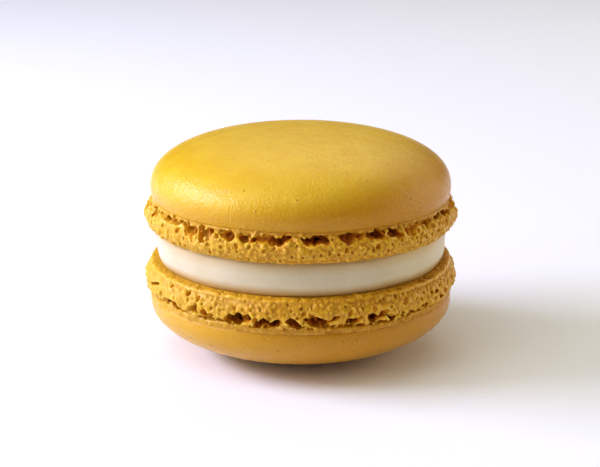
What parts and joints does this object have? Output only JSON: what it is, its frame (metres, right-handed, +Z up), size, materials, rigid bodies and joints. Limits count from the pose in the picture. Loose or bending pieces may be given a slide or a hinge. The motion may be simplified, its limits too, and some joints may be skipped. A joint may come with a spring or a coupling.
{
  "type": "french macaron",
  "caption": "Round sandwich biscuit of two smooth domed almond shells with frilly porous feet around a disc of pale cream.",
  "frame": {"origin": "middle of the flat spot under the lower shell, where the macaron rests", "axes": "+Z up through the middle of both shells, -Y towards the front, +X to the right"},
  "size_m": [0.0453, 0.0458, 0.0314],
  "materials": {
    "almond_shell": "satin, baked almond meringue, stands in for food",
    "cream": "smooth satin buttercream, stands in for food"
  },
  "bodies": {
    "root": {"shell_bottom": "almond_shell", "filling": "cream", "shell_top": "almond_shell"}
  },
  "joints": []
}
